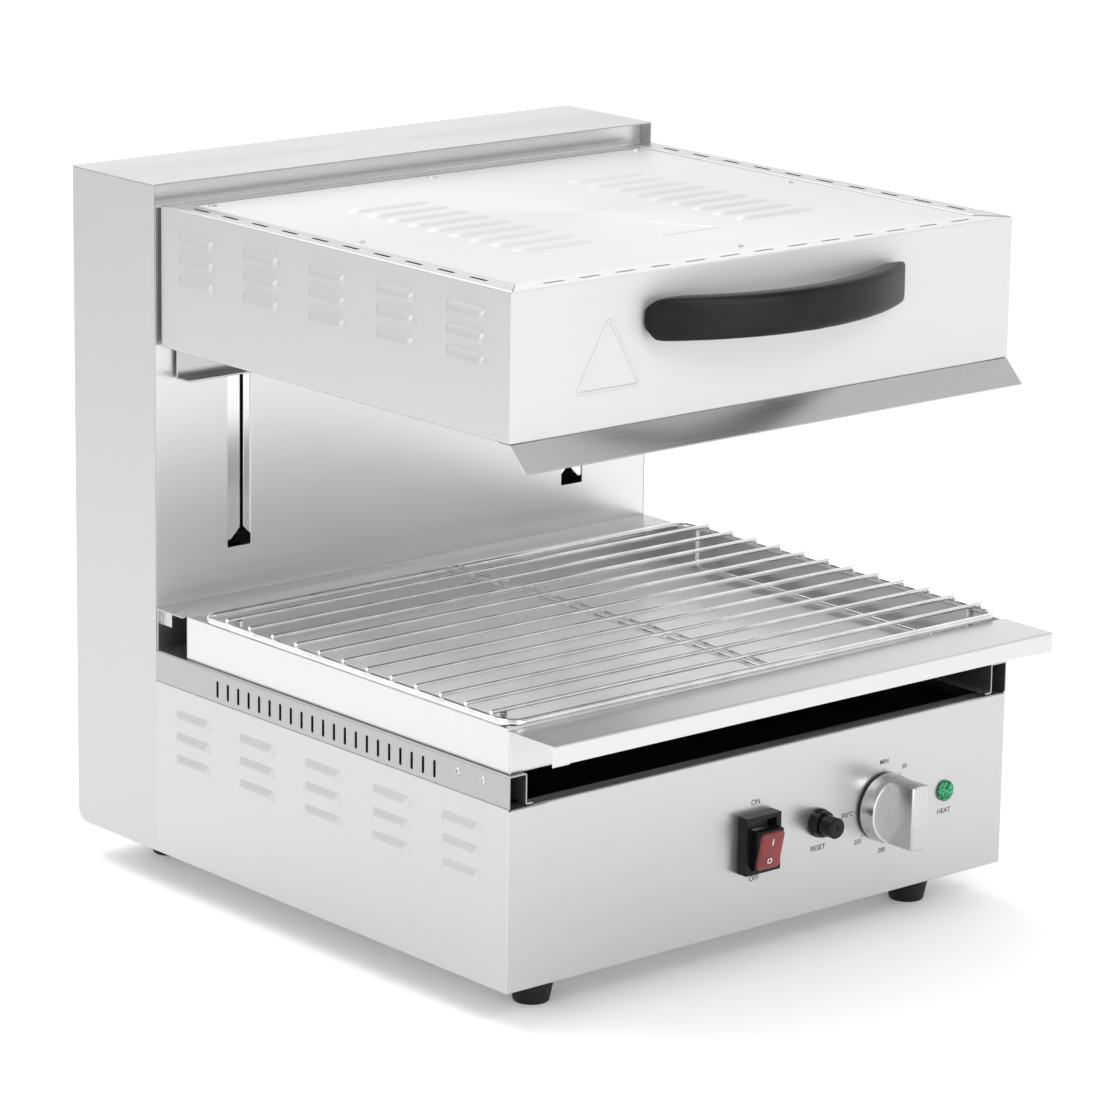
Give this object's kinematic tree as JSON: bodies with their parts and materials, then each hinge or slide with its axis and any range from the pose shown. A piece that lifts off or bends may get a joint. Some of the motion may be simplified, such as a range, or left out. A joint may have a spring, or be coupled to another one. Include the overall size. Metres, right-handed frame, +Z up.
{
  "type": "countertop salamander grill",
  "caption": "Countertop rise-and-fall grill: a louvred heating head slides on a rear column above a pull-out drip tray with a wire rack, with controls on the base front.",
  "frame": {"origin": "centre of the footprint's box, on the surface that the feet stand on", "axes": "+X to the right seen from the front, -Y out of the control panel, +Z up"},
  "size_m": [0.455, 0.5274, 0.4969],
  "materials": {
    "stainless": "fine brushed stainless steel",
    "galvanised": "plain galvanised sheet",
    "zinc_steel": "zinc-plated steel",
    "black_steel": "satin black paint",
    "element_steel": "heat-darkened steel tube",
    "chrome_wire": "bright chrome-plated wire",
    "knob_metal": "turned and brushed metal",
    "rubber": "moulded black rubber",
    "black_plastic": "fine-textured black plastic",
    "red_plastic": "translucent red rocker",
    "green_lens": "translucent green lens",
    "ivory_plastic": "moulded nylon",
    "mineral_wool": "pressed mineral wool"
  },
  "bodies": {
    "base": {"base_front_panel": "stainless", "base_side_left": "stainless", "base_side_right": "stainless", "bottom_plate": "galvanised", "inner_deck": "black_steel", "vent_rail_left": "stainless", "vent_rail_right": "stainless", "rail_rivets": "stainless", "rear_shelf": "stainless", "feet": "rubber", "foot_screws": "zinc_steel", "switch_housing": "black_plastic", "reset_collar": "black_plastic", "limit_thermostat": "black_plastic", "thermostat": "zinc_steel", "lamp_lens": "green_lens", "lamp_body": "black_plastic", "terminal_block": "ivory_plastic", "cable_gland": "black_plastic", "column_side_left": "stainless", "column_side_right": "stainless", "column_top_cap": "stainless", "column_front_plate": "stainless", "column_header": "stainless", "slot_strips": "stainless", "back_cover": "stainless", "back_screws": "zinc_steel", "guide_rail_left": "black_steel", "guide_rail_right": "black_steel", "strut_cylinders": "black_steel", "strut_brackets": "zinc_steel"},
    "head": {"head_front": "stainless", "head_side_left": "stainless", "head_side_right": "stainless", "head_rear_panel": "stainless", "head_cover": "stainless", "cover_screws": "zinc_steel", "handle": "black_plastic", "handle_screws": "zinc_steel", "deflector": "stainless", "carriage_plate": "stainless", "lift_arm_left": "zinc_steel", "lift_arm_right": "zinc_steel", "glide_blocks": "ivory_plastic", "crossbar": "galvanised", "strut_rods": "chrome_wire", "reflector": "galvanised", "insulation_pad": "mineral_wool", "heating_elements": "element_steel", "element_supports": "galvanised"},
    "tray": {"drip_tray": "stainless", "rack_frame": "chrome_wire", "rack_rods": "chrome_wire", "rack_legs": "chrome_wire"},
    "rocker": {"switch_rocker": "red_plastic"},
    "reset": {"reset_button": "black_plastic"},
    "knob": {"control_knob": "knob_metal", "thermostat_shaft": "zinc_steel"}
  },
  "joints": [
    {"name": "head_slide", "type": "slide", "parent": "base", "child": "head", "axis": [0, 0, 1], "range_m": [-0.145, 0]},
    {"name": "tray_slide", "type": "slide", "parent": "base", "child": "tray", "axis": [0, -1, 0], "range_m": [0, 0.25]},
    {"name": "rocker_tilt", "type": "hinge", "parent": "base", "child": "rocker", "pos_m": [-0.01, -0.22325, 0.0865], "axis": [-1, 0, 0], "range_deg": [0, 24]},
    {"name": "reset_press", "type": "slide", "parent": "base", "child": "reset", "axis": [0, 1, 0], "range_m": [0, 0.003], "stiffness_N_per_m": 600, "springref_m": -0.001},
    {"name": "knob_turn", "type": "hinge", "parent": "base", "child": "knob", "pos_m": [0.109, -0.22325, 0.088], "axis": [0, 1, 0], "range_deg": [0, 270]}
  ]
}
